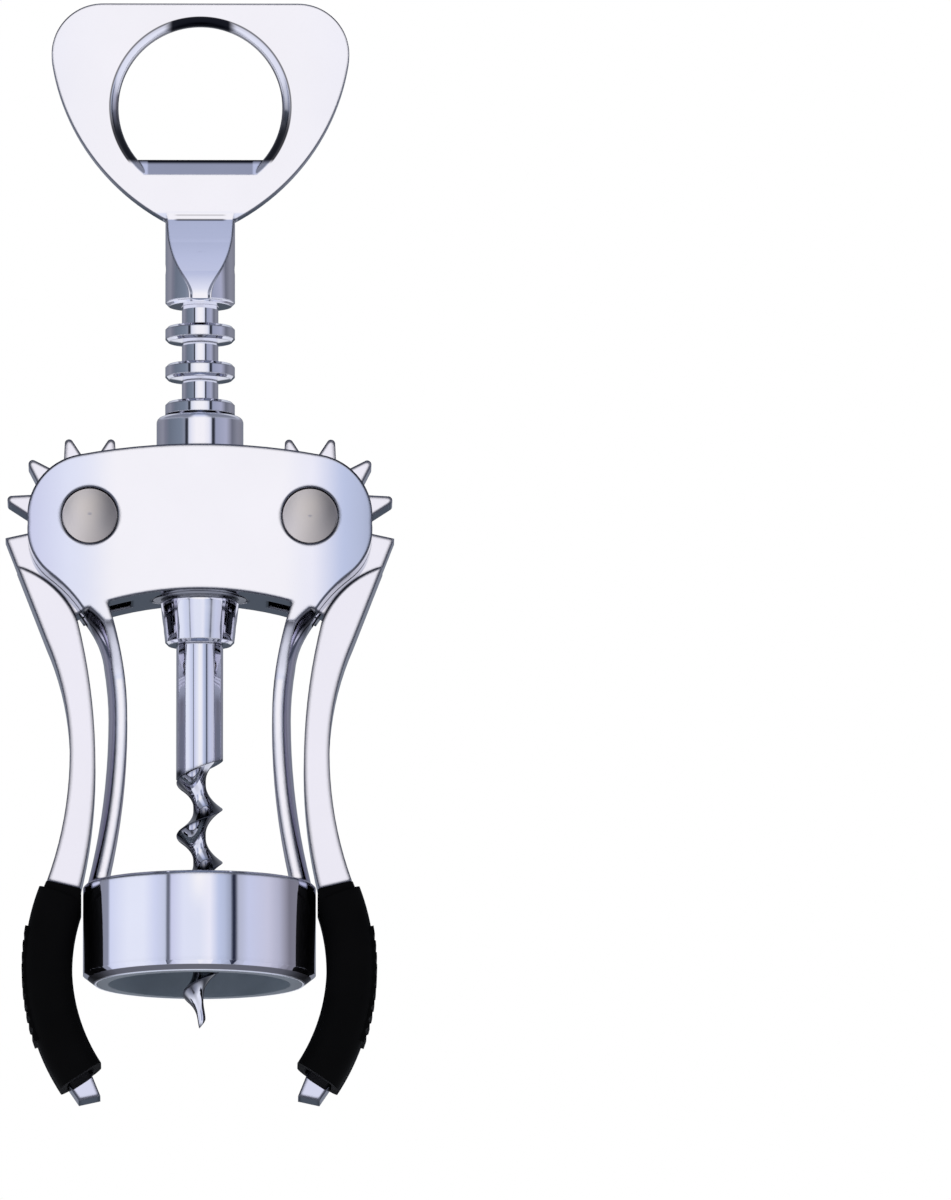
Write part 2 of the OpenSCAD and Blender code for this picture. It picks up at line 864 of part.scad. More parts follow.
module worm() {
    color("silver")
        difference() {
            union() {
                worm_blade();
                difference() {
                    translate([0, 0, shank_z - shank_r])
                        cylinder(r = shank_r, h = boss_bottom - shank_z + shank_r);
                    translate([0, 0, shank_z])
                        rotate([0, -shank_slant, 0])
                            translate([-big / 2, -big / 2, -big])
                                cube(big);
                }
                translate([0, 0, boss_bottom - over])
                    cylinder(r = spigot_r, h = spigot_h + over);
            }
            cross_hole(worm_pin_r + push_fit, boss_bottom + worm_pin_rise);
        }
}

module worm_pin() {
    color("gray")
        cross_pin(worm_pin_r, boss_bottom + worm_pin_rise, 2 * boss_end_r);
}

// Handle

module plate_outline() {
    intersection() {
        both_sides_inside();
        translate([-big / 2, plate_z - plate_root])
            square([big, flank_end_z - plate_z + plate_root]);
    }
    polygon([
        [-flank_end_x, flank_end_z],
        [flank_end_x, flank_end_z],
        [corner_x, corner_z + over],
        [-corner_x, corner_z + over]
    ]);
    translate([-corner_x, corner_z - corner_r])
        square([2 * corner_x, 2 * corner_r]);
    both_sides()
        translate([corner_x, corner_z])
            circle(r = corner_r);
}

// The space between the plate's two curved flanks
module both_sides_inside() {
    intersection() {
        translate(flank_c)
            circle(r = flank_r, $fn = arc_facets);
        mirror([1, 0, 0])
            translate(flank_c)
                circle(r = flank_r, $fn = arc_facets);
    }
}

module lifter_hole() {
    half = plate_t / 2;
    land = lifter_land / 2;
    round_r = max(lifter_round, half + lifter_round_spare);
    lip_slope = lip_bevel / (half - land);
    intersection() {
        translate([lifter_c[0], 0, lifter_c[1]])
            rotate([90, 0, 0])
                rotate_extrude()
                    difference() {
                        translate([0, -half - over])
                            square([lifter_r + round_r - lifter_rim, plate_t + 2 * over]);
                        translate([lifter_r + round_r, 0])
                            circle(r = round_r);
                    }
        along(big)
            polygon([
                [-half - over, lip_z - lip_bevel - over * lip_slope],
                [-land, lip_z],
                [land, lip_z],
                [half + over, lip_z - lip_bevel - over * lip_slope],
                [half + over, plate_top + over],
                [-half - over, plate_top + over]
            ]);
    }
}

// What a facet of the collar takes away, in side view
module beyond_facet() {
    translate([facet_depth, collar_z - over])
        square([big, facet_low[1] - collar_z + over]);
    difference() {
        translate([0, facet_low[1]])
            square([big, facet_start[1] - facet_low[1]]);
        translate(facet_low)
            circle(r = facet_low_r, $fn = arc_facets / 2);
    }
    polygon([facet_start, facet_end, [big, facet_end[1]], [big, facet_start[1]]]);
    intersection() {
        translate(facet_high)
            circle(r = facet_high_r, $fn = arc_facets / 2);
        translate([0, facet_end[1]])
            square([big, big]);
    }
}

module collar() {
    intersection() {
        rotate_extrude()
            polygon([
                [0, collar_z],
                [collar_r - collar_chamfer, collar_z],
                [collar_r, collar_z + collar_chamfer],
                [collar_r, plate_z + over],
                [0, plate_z + over]
            ]);
        along(big)
            difference() {
                translate([-big / 2, collar_z - over])
                    square([big, collar_h + 3 * over]);
                both_sides()
                    beyond_facet();
            }
    }
}

module opener_handle() {
    color("silver")
        difference() {
            union() {
                collar();
                across(plate_t)
                    plate_outline();
            }
            lifter_hole();
            translate([0, 0, collar_z - over])
                cylinder(r = groove_r + push_fit, h = socket_h + over);
            cross_hole(handle_pin_r + push_fit, collar_z + handle_pin_rise);
        }
}

module handle_pin() {
    color("gray")
        cross_pin(handle_pin_r, collar_z + handle_pin_rise, 2 * (collar_r - handle_pin_inset));
}

// Wings, drawn for the left side from the pivot

module tooth() {
    tip_x = tip_r - tooth_tip_r;
    tip_w = tooth_tip_r / cos(tooth_slope);
    root_x = root_r - over;
    root_w = tip_w + (tip_x - root_x) * tan(tooth_slope);
    polygon([[root_x, -root_w], [tip_x, -tip_w], [tip_x, tip_w], [root_x, root_w]]);
    translate([tip_x, 0])
        circle(r = tooth_tip_r, $fn = hole_facets);
}

module gear_outline() {
    circle(r = root_r);
    for (i = [0 : teeth - 1])
        rotate(tooth_first + i * tooth_pitch)
            tooth();
}

// The wing between its outer and inner edges, down to the grip
module lever_outline() {
    difference() {
        polygon([
            hub_corner,
            edge_bend,
            waist_out,
            [(lever_end_out + over * lever_end_way)[0], waist_out[1]],
            lever_end_out + over * lever_end_way,
            lever_end_in - over * lever_end_way,
            [waist_in[0] + waist_in_drop, -lever_drop],
            hub_end[1],
            [-hub_middle, 0]
        ]);
        intersection() {
            translate(lower_edge_c)
                circle(r = lever_lower_r, $fn = arc_facets);
            translate(waist_out - [big, big])
                square([2 * big, big]);
        }
        intersection() {
            translate(upper_edge_c)
                circle(r = lever_upper_r, $fn = arc_facets);
            translate(waist_out - [lever_upper_r, 0])
                square([big, edge_bend[1] - waist_out[1]]);
        }
        difference() {
            translate([waist_out[0], lever_end_in[1] - over])
                square([big, waist_in[1] - lever_end_in[1] + over]);
            translate(inner_lower_c)
                circle(r = inner_lower_r, $fn = arc_facets);
        }
    }
}

module lever_panel() {
    intersection() {
        lever_outline();
        union() {
            translate(inner_edge_c)
                circle(r = lever_inner_r, $fn = arc_facets);
            translate(waist_in - [big / 2, big])
                square([big, big]);
        }
        union() {
            translate(step_c)
                circle(r = step_r);
            translate([-big / 2, step_end[1] - step_overlap - big])
                square([big, big]);
        }
    }
}

// The thin plate that joins the gear to the thick part of the wing
module hub_outline() {
    gear_outline();
    intersection() {
        lever_outline();
        polygon([
            hub_corner + [-over, over],
            [0, 0],
            hub_end[1],
            hub_end[0],
            step_c,
            [-big / 4, step_c[1]]
        ]);
    }
}

// A bar bent about the grip's centre, from one angle to another
module bent_bar(from_angle, span) {
    translate([grip_c[0], 0, grip_c[1]])
        rotate([90, 0, 0])
            rotate([0, 0, from_angle])
                rotate_extrude(angle = span, $fn = arc_facets / 2)
                    children();
}

// Section of a bar with rounded edges, from r0 to r1 and as deep as asked
module rounded_section(r0, r1, depth, round) {
    translate([r0 + round, -depth / 2])
        square([r1 - r0 - 2 * round, depth]);
    translate([r0, round - depth / 2])
        square([r1 - r0, depth - 2 * round]);
    for (x = [r0 + round, r1 - round], y = [round - depth / 2, depth / 2 - round])
        translate([x, y])
            circle(r = round, $fn = hole_facets);
}

// Section of the core, bevelled on its inner side
module core_section(room) {
    half = core_depth / 2 + room;
    polygon([
        [core_in_r - room, core_bevel - half],
        [core_in_r + core_bevel - room, -half],
        [core_out_r + room, -half],
        [core_out_r + room, half],
        [core_in_r + core_bevel - room, half],
        [core_in_r - room, half - core_bevel]
    ]);
}

// The tapered end of the core that shows below the grip
module core_tip() {
    end = grip_end_angle;
    translate([grip_c[0], 0, grip_c[1]])
        across(core_depth)
            polygon([
                at(core_out_r - core_tip_inset, end - core_tip_root),
                at(core_out_r, end + core_tip_start * core_tip_angle),
                at(core_in_r + core_tip_point * core_t, end + core_tip_angle),
                at(core_in_r + core_bevel, end),
                at(core_in_r + core_bevel, end - core_tip_root)
            ]);
}

module wing() {
    color("silver")
        translate([-pivot_x, 0, pivot_z])
            difference() {
                union() {
                    across(gear_t)
                        hub_outline();
                    across(wing_t)
                        lever_panel();
                    bent_bar(grip_top_angle - core_root_angle, grip_angle + core_root_angle - 1)
                        core_section(0);
                    core_tip();
                }
                bar_y(pin_r + run_fit, -gear_t, gear_t);
            }
}

// The collar of a grip round the end of its wing
module grip_neck() {
    intersection() {
        bent_bar(grip_top_angle - grip_neck_angle, grip_neck_angle + grip_neck_sink)
            rounded_section(grip_in_r + grip_neck_rim, core_out_r + grip_neck_rim,
                wing_t + 2 * grip_neck_rim, grip_neck_round);
        across(2 * grip_depth)
            polygon([
                lever_end_in - big * lever_end_way,
                lever_end_out + big * lever_end_way,
                lever_end_out + big * lever_end_way - [0, big],
                lever_end_in - big * lever_end_way - [0, big]
            ]);
    }
}

module grip() {
    pad_out_r = grip_in_r + grip_t + rib_pad;
    color("black")
        translate([-pivot_x, 0, pivot_z])
            difference() {
                union() {
                    bent_bar(grip_top_angle, grip_angle)
                        rounded_section(grip_in_r, grip_in_r + grip_t, grip_depth, grip_round);
                    grip_neck();
                    bent_bar(pad_angle, grip_ribs * rib_pitch_angle)
                        translate([grip_r, -pad_half_depth])
                            square([pad_out_r - grip_r, 2 * pad_half_depth]);
                }
                bent_bar(grip_top_angle - grip_neck_angle - 1, grip_angle + grip_neck_angle + 2)
                    core_section(push_fit);
                // Flat that clears the bell
                translate([flat_x, -grip_depth, grip_c[1]])
                    cube([bell_r, 2 * grip_depth, bell_r]);
                for (i = [1 : grip_ribs - 1])
                    translate([grip_c[0], 0, grip_c[1]])
                        rotate([0, -pad_angle - i * rib_pitch_angle, 0])
                            translate([pad_out_r + rib_cut_r - rib_depth, 0, 0])
                                bar_y(rib_cut_r, -grip_depth, grip_depth);
            }
}

module frame_pieces_left() {
    mirror([1, 0, 0])
        children();
}

frame();
bell_liner();
frame_pieces_left() pivot_pin();  // pivot_pin_left
pivot_pin();  // pivot_pin_right
frame_pieces_left() pivot_cap();  // pivot_cap_left
pivot_cap();  // pivot_cap_right
frame_pieces_left() washers();  // washers_left
washers();  // washers_right
guide_bush();
rack();
worm();
worm_pin();
opener_handle();
handle_pin();
wing();  // wing_left
mirror([1, 0, 0]) wing();  // wing_right
grip();  // grip_left
mirror([1, 0, 0]) grip();  // grip_right
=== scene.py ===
import math

import bpy
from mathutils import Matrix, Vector


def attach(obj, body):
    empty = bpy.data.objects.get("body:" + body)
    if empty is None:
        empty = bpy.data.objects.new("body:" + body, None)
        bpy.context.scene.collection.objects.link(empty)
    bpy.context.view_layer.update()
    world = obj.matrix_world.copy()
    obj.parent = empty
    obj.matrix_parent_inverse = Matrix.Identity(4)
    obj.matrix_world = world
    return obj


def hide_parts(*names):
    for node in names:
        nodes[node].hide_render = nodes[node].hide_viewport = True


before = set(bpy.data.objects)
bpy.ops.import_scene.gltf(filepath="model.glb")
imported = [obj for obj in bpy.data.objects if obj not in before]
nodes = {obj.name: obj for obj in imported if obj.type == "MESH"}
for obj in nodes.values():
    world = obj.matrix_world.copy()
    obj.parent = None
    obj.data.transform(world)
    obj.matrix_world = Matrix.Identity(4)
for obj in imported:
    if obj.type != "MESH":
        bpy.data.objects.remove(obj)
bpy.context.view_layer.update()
scene = bpy.context.scene

# Camera: a long lens a little below the object, aimed to its right
DISTANCE = 6.0
RISE = math.radians(8.7)
MIDDLE = Vector((0, 0, 0.0765))
METRES_A_PIXEL = 0.000175
FRAME_W, FRAME_H = 951, 1200
OBJECT_X, OBJECT_Y = 199.8, 552
SENSOR_MM = 36


def add_camera():
    eye = MIDDLE - DISTANCE * Vector((0, math.cos(RISE), math.sin(RISE)))
    right = (FRAME_W / 2 - OBJECT_X) * METRES_A_PIXEL
    down = (FRAME_H / 2 - OBJECT_Y) * METRES_A_PIXEL
    target = MIDDLE + Vector((right, down * math.sin(RISE), -down * math.cos(RISE)))
    data = bpy.data.cameras.new("camera")
    data.sensor_width = SENSOR_MM
    data.lens = SENSOR_MM * DISTANCE / (FRAME_H * METRES_A_PIXEL)
    data.clip_start, data.clip_end = 0.05, 60
    cam = bpy.data.objects.new("camera", data)
    scene.collection.objects.link(cam)
    cam.location = eye
    cam.rotation_euler = (target - eye).to_track_quat("-Z", "Y").to_euler()
    scene.camera = cam


# Node helpers
class Tree:
    """A node tree with short ways to add nodes and sums to it."""

    def __init__(self, tree):
        self.tree = tree
        tree.nodes.clear()

    def add(self, kind, inputs=None, **settings):
        node = self.tree.nodes.new(kind)
        for key, value in settings.items():
            setattr(node, key, value)
        for key, value in (inputs or {}).items():
            self.set(node.inputs[key], value)
        return node

    def set(self, socket, value):
        if isinstance(value, bpy.types.NodeSocket):
            self.tree.links.new(value, socket)
        else:
            socket.default_value = value

    def math(self, operation, *values):
        node = self.add("ShaderNodeMath", operation=operation)
        for socket, value in zip(node.inputs, values):
            self.set(socket, value)
        return node.outputs[0]

    def plus(self, first, *others):
        for value in others:
            first = self.math("ADD", first, value)
        return first

    def times(self, first, *others):
        for value in others:
            first = self.math("MULTIPLY", first, value)
        return first

    def less(self, a, b):
        return self.math("SUBTRACT", a, b)

    def size(self, value):
        return self.math("ABSOLUTE", value)

    def most(self, first, *others):
        for value in others:
            first = self.math("MAXIMUM", first, value)
        return first

    def clamp(self, value, low, high):
        return self.math("MINIMUM", self.math("MAXIMUM", value, low), high)

    def length(self, a, b):
        return self.math("SQRT", self.plus(self.times(a, a), self.times(b, b)))

    def ramp(self, fac, stops):
        node = self.add("ShaderNodeValToRGB", {"Fac": fac})
        elements = node.color_ramp.elements
        while len(elements) > 1:
            elements.remove(elements[-1])
        elements[0].position = stops[0][0]
        elements[0].color = (*stops[0][1], 1)
        for position, colour in stops[1:]:
            elements.new(position).color = (*colour, 1)
        return node.outputs[0]

    def span(self, value, low, high, out_low=0.0, out_high=1.0):
        """A value eased from out_low at low to out_high at high."""
        node = self.add("ShaderNodeMapRange", interpolation_type="SMOOTHSTEP")
        for key, number in zip(("Value", "From Min", "From Max", "To Min", "To Max"),
                               (value, low, high, out_low, out_high)):
            self.set(node.inputs[key], number)
        return node.outputs[0]

    def between(self, value, low, high, soft):
        """1 inside a stretch, eased over twice soft about low and again just past high."""
        above = self.span(value, low - soft, low + soft)
        return self.times(above, self.span(value, high + soft, high + 3 * soft, 1.0, 0.0))

    def mix(self, factor, a, b):
        node = self.add("ShaderNodeMix", data_type="RGBA")
        self.set(node.inputs["Factor"], factor)
        self.set(node.inputs["A"], a if isinstance(a, bpy.types.NodeSocket) else (*a, 1))
        self.set(node.inputs["B"], b if isinstance(b, bpy.types.NodeSocket) else (*b, 1))
        return node.outputs["Result"]

    def here(self):
        """The place on the object, which every material's pattern follows."""
        return self.add("ShaderNodeTexCoord").outputs["Object"]

    def noise(self, where, scale, detail):
        return self.add("ShaderNodeTexNoise", {
            "Vector": where, "Scale": scale, "Detail": detail}).outputs[0]

    def rounded(self, radius, samples=8):
        return self.add("ShaderNodeBevel", {"Radius": radius}, samples=samples).outputs[0]

    def bump(self, height, normal, distance=1.0, strength=1.0):
        return self.add("ShaderNodeBump", {
            "Strength": strength, "Distance": distance, "Height": height,
            "Normal": normal}).outputs[0]


def new_material(name):
    material = bpy.data.materials.new(name)
    material.use_nodes = True
    return material, Tree(material.node_tree)


# Places on the object where its faces swell or lean, and where shade is painted on them, in
# metres, and by how much
EASE = 0.0002
CROWN_FLAT, CROWN_SWELL, PLATE_SWELL = 0.014, 7.6, 1.5
BELL_TOP, BELL_SWELL = 0.0165, 1.5
MATT_TOP, BEVEL_TOP = 0.0009, 0.0016
MATT_LEAN, BEVEL_LEAN = 1.6, 2.08
MOUTH_LINE_TOP = 0.0001
NECK_FOOT, DRAFT = 0.0945, 0.052
LEG_Z, LEG_ROUNDING = (0.0185, 0.058), 0.0006
GUSSET_Z, GUSSET_X = (0.061, 0.0775), (0.0150, 0.0175)
GUSSET_FACING, GUSSET_SHADE = (0.3, 0.8), 0.94
# Heights at which the collar's facets start to bend out, end in a crease, and reach the plate
FACET_BEND, FACET_TOP, PLATE_FOOT = 0.13094, 0.1351, 0.1366
FACET_BEND_RATE, FACET_TOP_R = 73.8, 0.015
FACET_LOW, FACET_LOW_RATE = 0.1255, 6.4
COLLAR_CHAMFER, COLLAR_LEAN, COLLAR_R = 0.1205, 1.19, 0.0061
# Height, half thickness inside and outside the fading, and strength of each painted shade line at
# the crease
CREASE_LINES = [(0.13505, (0.00010, 0.00026), 0.75), (0.1359, (0.00005, 0.00020), 0.35)]
CREASE_X = (0.0038, 0.0048)
LIP_LOW, LIP_TOP, LIP_SIDE, LIP_SHADE = 0.1431, 0.1459, 0.0090, 0.42
HOLE_Z, HOLE_R, RIM_W = 0.1552, 0.01435, 0.00162
RIM_R = HOLE_R + RIM_W
RIM_ABOVE_X, RIM_BELOW_Z = (0.0048, 0.0066), (-0.005, 0.006)
RIM_OUTER_SHADE, RIM_INNER_SHADE, RIM_BELOW_SHADE = 0.8, 0.75, 0.96
RIVET_X, RIVET_Z, RIVET_R = 0.01925, 0.0814, 0.005
RIVET_LEAN, RIVET_FLAT = 0.03, 20.0
GRIP_FOOT, TIP_LEAN = -0.0135, 0.19
SHANK_FOOT = 0.0370


def fall(t, value, start, slope, power=1.0):
    """Height that drops off past a place along one way."""
    past = t.most(t.less(value, start), 0.0)
    return t.times(t.math("POWER", past, power), -slope)


def swell_of_frame(t, x, y, z):
    """Round sides of the crown, a slight draft on bell and neck, and a softened bevel."""
    side = fall(t, t.size(x), CROWN_FLAT, CROWN_SWELL, 2.0)
    bell = fall(t, t.times(z, -1.0), -BELL_TOP, BELL_SWELL, 2.0)
    neck = fall(t, z, NECK_FOOT, DRAFT)
    edge = t.times(t.clamp(z, 0.0, MATT_TOP), -MATT_LEAN)
    wall = t.times(t.clamp(z, MATT_TOP, BEVEL_TOP), -BEVEL_LEAN)
    return t.plus(side, bell, neck, t.plus(edge, wall))


def swell_of_handle(t, x, y, z):
    """The facets stay flat up to a crease, where the solid bends out to the plate."""
    side = fall(t, t.size(x), CROWN_FLAT, PLATE_SWELL, 2.0)
    up_to_crease = t.math("MINIMUM", z, FACET_TOP)
    turned = t.times(up_to_crease, -DRAFT)
    kept = fall(t, up_to_crease, FACET_BEND, FACET_BEND_RATE / 2, 2.0)
    left = t.less(PLATE_FOOT, t.clamp(z, FACET_TOP, PLATE_FOOT))
    flat = t.times(t.times(left, left), -0.5 / FACET_TOP_R)
    below = t.less(FACET_BEND, t.clamp(z, FACET_LOW, FACET_BEND))
    low = t.times(t.times(below, below), -FACET_LOW_RATE)
    rim = t.times(t.math("MINIMUM", z, COLLAR_CHAMFER), -COLLAR_LEAN)
    inside = t.span(t.length(x, y), COLLAR_R - EASE, COLLAR_R, 1.0, 0.0)
    inside = t.most(inside, t.span(z, FACET_TOP, FACET_TOP + EASE))
    facet = t.times(t.plus(kept, low), inside)
    return t.plus(side, turned, flat, t.plus(facet, rim))


def swell_of_rack(t, x, y, z):
    """Every side leans up a little, as on the handle's collar above it."""
    return t.times(z, -DRAFT)


def swell_of_rivet(t, x, y, z):
    """The domed heads are flatter from top to bottom than across, and lean a little."""
    off = t.clamp(t.less(z, RIVET_Z), -RIVET_R, RIVET_R)
    return t.plus(t.times(off, off, RIVET_FLAT), t.times(x, -RIVET_LEAN))


def swell_of_wing(t, x, y, z):
    """Only the tip below the grip leans, and shows a bluer part of the tent."""
    return fall(t, t.times(z, -1.0), -GRIP_FOOT, -TIP_LEAN)


def shade_of_hole(t, x, z):
    """The hole's rounded rim gets a painted dark reflection above, below and along both its edges.
    """
    rise = t.less(z, HOLE_Z)
    out = t.length(x, rise)
    rim = t.span(out, RIM_R - EASE / 4, RIM_R + EASE / 2, 1.0, 0.0)
    outer = t.span(out, RIM_R - 2 * EASE, RIM_R - 0.75 * EASE, 0.0, RIM_OUTER_SHADE)
    inner = t.span(out, HOLE_R + EASE / 2, HOLE_R + 2 * EASE, RIM_INNER_SHADE, 0.0)
    above = t.times(t.span(t.size(x), *RIM_ABOVE_X, 1.0, 0.0), t.span(rise, 0.0, 5 * EASE))
    below = t.span(rise, *RIM_BELOW_Z, RIM_BELOW_SHADE, 0.0)
    over_lip = t.span(z, LIP_TOP - 5 * EASE, LIP_TOP)
    return t.times(rim, t.most(outer, inner, above, below), over_lip)


def shade_of_handle(t, x, z):
    """Painted shade: dark lines where the facet meets the plate, a darker lip, and the hole's dark
    rim.
    """
    aside = t.size(x)
    lines = [t.span(t.size(t.less(z, height)), *reach, strength, 0.0)
             for height, reach, strength in CREASE_LINES]
    crease = t.times(t.span(aside, *CREASE_X, 1.0, 0.0), t.plus(*lines))
    within = t.span(aside, LIP_SIDE, LIP_SIDE + 2 * EASE, LIP_SHADE, 0.0)
    lip = t.times(within, t.between(z, LIP_LOW, LIP_TOP, EASE / 2))
    return t.plus(crease, lip, shade_of_hole(t, x, z))


# Tints of the painted shades, of the bell's matt bevel, whose dark grey is partly painted shade,
# and of the painted highlight line at its mouth
PAINTED_EDGE_SHADE, PAINTED_SHADE_TINT = (0.045, 0.05, 0.07), (0.012, 0.013, 0.018)
PAINTED_GUSSET_SHADE, PAINTED_BLADE_SHADE = (0.04, 0.043, 0.055), (0.03, 0.033, 0.042)
MATT_GREY_AND_SHADE, PAINTED_MOUTH_HIGHLIGHT, MATT_ROUGH = (0.20, 0.20, 0.225), (0.90, 0.92, 0.98), 0.5
# How far a face has turned within an edge's reach, as 1 less its cosine, where a painted shade
# line starts and where it is darkest
EDGE_BEND = (0.006, 0.07)
# Height over which the painted shade lines begin above a bare part
LINE_START = 0.0012
CLOUD_SCALE, WAVE_SCALE, GRAIN_DEPTH = 70.0, 45.0, 0.00005


def edge_line(t, normal, z, line, reach, bare):
    """Painted shade along an edge: darker where the face bends away within the line's reach."""
    wide = t.rounded(reach) if reach else normal
    flat = t.add("ShaderNodeNewGeometry").outputs["Normal"]
    cosine = t.add("ShaderNodeVectorMath", {0: wide, 1: flat},
                   operation="DOT_PRODUCT").outputs["Value"]
    shade = t.span(t.less(1.0, cosine), *EDGE_BEND, 0.0, line)
    return t.times(shade, t.span(z, bare, bare + LINE_START)) if bare else shade


def gusset_shade(t, x, z):
    """Painted shade: the gussets' sides under the crown are darker than their fronts."""
    normal = t.add("ShaderNodeNewGeometry").outputs["Normal"]
    facing = t.size(t.add("ShaderNodeSeparateXYZ", {"Vector": normal}).outputs["Y"])
    place = t.times(t.between(z, *GUSSET_Z, 5 * EASE), t.span(t.size(x), *GUSSET_X))
    return t.times(place, t.span(facing, *GUSSET_FACING, GUSSET_SHADE, 0.0))


def metal(name, colour, rough, edge=0.0003, line=0.85, line_reach=0.0, bare=None, swell=None,
          shade=None, legs=None, matt_foot=None, across=None, turned_away=None, waves=0.0,
          grain=0.02, grain_scale=900.0):
    """Polished or satin metal with rounded edges, cloudy polish and fine grain, with painted shade
    and a painted highlight in its colour.

    edge is the rounding's radius, and legs a span of heights and what it is more by there.
    line is the strength of the painted shade line along edges, line_reach its width, and bare a
    height below which there is none. swell gives the faces' gentle curve and shade the painted
    shade on them.
    matt_foot is for the frame alone: the height below which its turned bevel is matt and dark
    grey, the grey partly painted shade, with which come painted shade on its gussets and a
    painted highlight line at the bell's mouth. across is the colour of the painted shade that
    each rivet's head takes toward one side, and turned_away how far the worm's blade turns away
    where its painted shade begins and where it is darkest."""
    material, t = new_material(name)
    where = t.here()
    x, y, z = t.add("ShaderNodeSeparateXYZ", {"Vector": where}).outputs
    cloud = t.noise(where, CLOUD_SCALE, 3.0)
    fine = t.noise(where, grain_scale, 2.0)
    polish = t.ramp(cloud, [(0.3, (rough * 0.75,) * 3), (0.7, (rough * 1.3,) * 3)])
    tint = t.ramp(cloud, [(0.3, tuple(c * 0.975 for c in colour)), (0.7, colour)])
    radius = edge
    if legs:
        heights, more = legs
        radius = t.math("MULTIPLY_ADD", t.between(z, *heights, 3 * EASE), more, edge)
        radius = t.times(radius, t.span(z, BEVEL_TOP + EASE, BEVEL_TOP + 5 * EASE))
    normal = t.rounded(radius)
    # painted shade: the worm's blade darker where it turns away from the view
    if turned_away:
        facing = t.add("ShaderNodeLayerWeight", {"Blend": 0.5, "Normal": normal}).outputs["Facing"]
        blade = t.span(z, SHANK_FOOT, SHANK_FOOT + 5 * EASE, 1.0, 0.0)
        tint = t.mix(t.times(blade, t.span(facing, *turned_away)), tint, PAINTED_BLADE_SHADE)
    if line:
        # painted shade: a dark line along the edges
        tint = t.mix(edge_line(t, normal, z, line, line_reach, bare), tint, PAINTED_EDGE_SHADE)
    # painted shade: each rivet's head darker toward one side
    if across:
        from_rivet = t.less(x, t.times(t.math("SIGN", x), RIVET_X))
        tint = t.mix(t.span(from_rivet, -RIVET_R, RIVET_R), tint, across)
    if shade:
        # painted shade from the shade function, such as the handle's crease lines, lip and hole
        # rim
        tint = t.mix(shade(t, x, z), tint, PAINTED_SHADE_TINT)
    if matt_foot:
        # painted shade on the gussets' sides
        tint = t.mix(gusset_shade(t, x, z), tint, PAINTED_GUSSET_SHADE)
        # the bell's bevel: matt, in a dark grey that is partly painted shade
        matt = t.span(z, matt_foot, matt_foot + EASE / 2, 1.0, 0.0)
        # painted highlight: a light line along the bell's mouth
        mouth = t.span(z, MOUTH_LINE_TOP, MOUTH_LINE_TOP + EASE / 2, 1.0, 0.0)
        tint = t.mix(mouth, t.mix(matt, tint, MATT_GREY_AND_SHADE), PAINTED_MOUTH_HIGHLIGHT)
        polish = t.mix(matt, polish, (MATT_ROUGH,) * 3)
    if swell:
        normal = t.bump(swell(t, x, y, z), normal)
    if waves:
        normal = t.bump(t.noise(where, WAVE_SCALE, 1.0), normal, distance=waves)
    normal = t.bump(fine, normal, distance=GRAIN_DEPTH, strength=grain)
    shader = t.add("ShaderNodeBsdfPrincipled", {
        "Base Color": tint, "Metallic": 1.0, "Roughness": polish, "Normal": normal})
    t.add("ShaderNodeOutputMaterial", {"Surface": shader.outputs[0]})
    return material


DUST_SCALE, MOULDED_EDGE, MOULDED_GRAIN_DEPTH = 120.0, 0.0003, 0.00008


def plastic(name, dark, light, rough, grain_scale, grain, specular=0.4):
    """Moulded plastic or rubber with rounded edges, a fine grain and a little dust in it."""
    material, t = new_material(name)
    where = t.here()
    cloud = t.noise(where, DUST_SCALE, 4.0)
    tint = t.ramp(cloud, [(0.35, dark), (0.7, light)])
    matt = t.ramp(cloud, [(0.3, (rough * 0.85,) * 3), (0.7, (rough * 1.15,) * 3)])
    normal = t.bump(t.noise(where, grain_scale, 3.0), t.rounded(MOULDED_EDGE, samples=4),
                    distance=MOULDED_GRAIN_DEPTH, strength=grain)
    shader = t.add("ShaderNodeBsdfPrincipled", {
        "Base Color": tint, "Roughness": matt, "Normal": normal, "Specular IOR Level": specular})
    t.add("ShaderNodeOutputMaterial", {"Surface": shader.outputs[0]})
    return material


def dress(material, *names):
    for name in names:
        data = nodes[name].data
        data.materials.clear()
        data.materials.append(material)


POLISHED = (0.90, 0.89, 0.94)
SLIGHT_WAVES = 0.00003
casting = metal("polished_casting", POLISHED, 0.028, edge=0.0006, line=0.95, line_reach=0.0011,
                bare=BEVEL_TOP, swell=swell_of_frame, legs=(LEG_Z, LEG_ROUNDING),
                matt_foot=MATT_TOP, waves=SLIGHT_WAVES)
plate = metal("polished_plate", POLISHED, 0.035, edge=0.00035, line=0.9, line_reach=0.0007,
              bare=COLLAR_CHAMFER, swell=swell_of_handle, shade=shade_of_handle,
              waves=SLIGHT_WAVES)
lever = metal("polished_lever", (0.85, 0.835, 0.91), 0.04, edge=0.0004, line=0.95,
              line_reach=0.0013, swell=swell_of_wing, waves=SLIGHT_WAVES)
bright = metal("bright_steel", (0.88, 0.88, 0.93), 0.04, edge=0.0002, line=0.8,
               line_reach=0.0005, swell=swell_of_rack)
screw = metal("bright_worm", (0.86, 0.86, 0.91), 0.03, edge=0.0002, line=0.95,
              line_reach=0.0009, turned_away=(0.22, 0.50))
dull = metal("dull_steel", (0.30, 0.31, 0.34), 0.3, edge=0.0002)
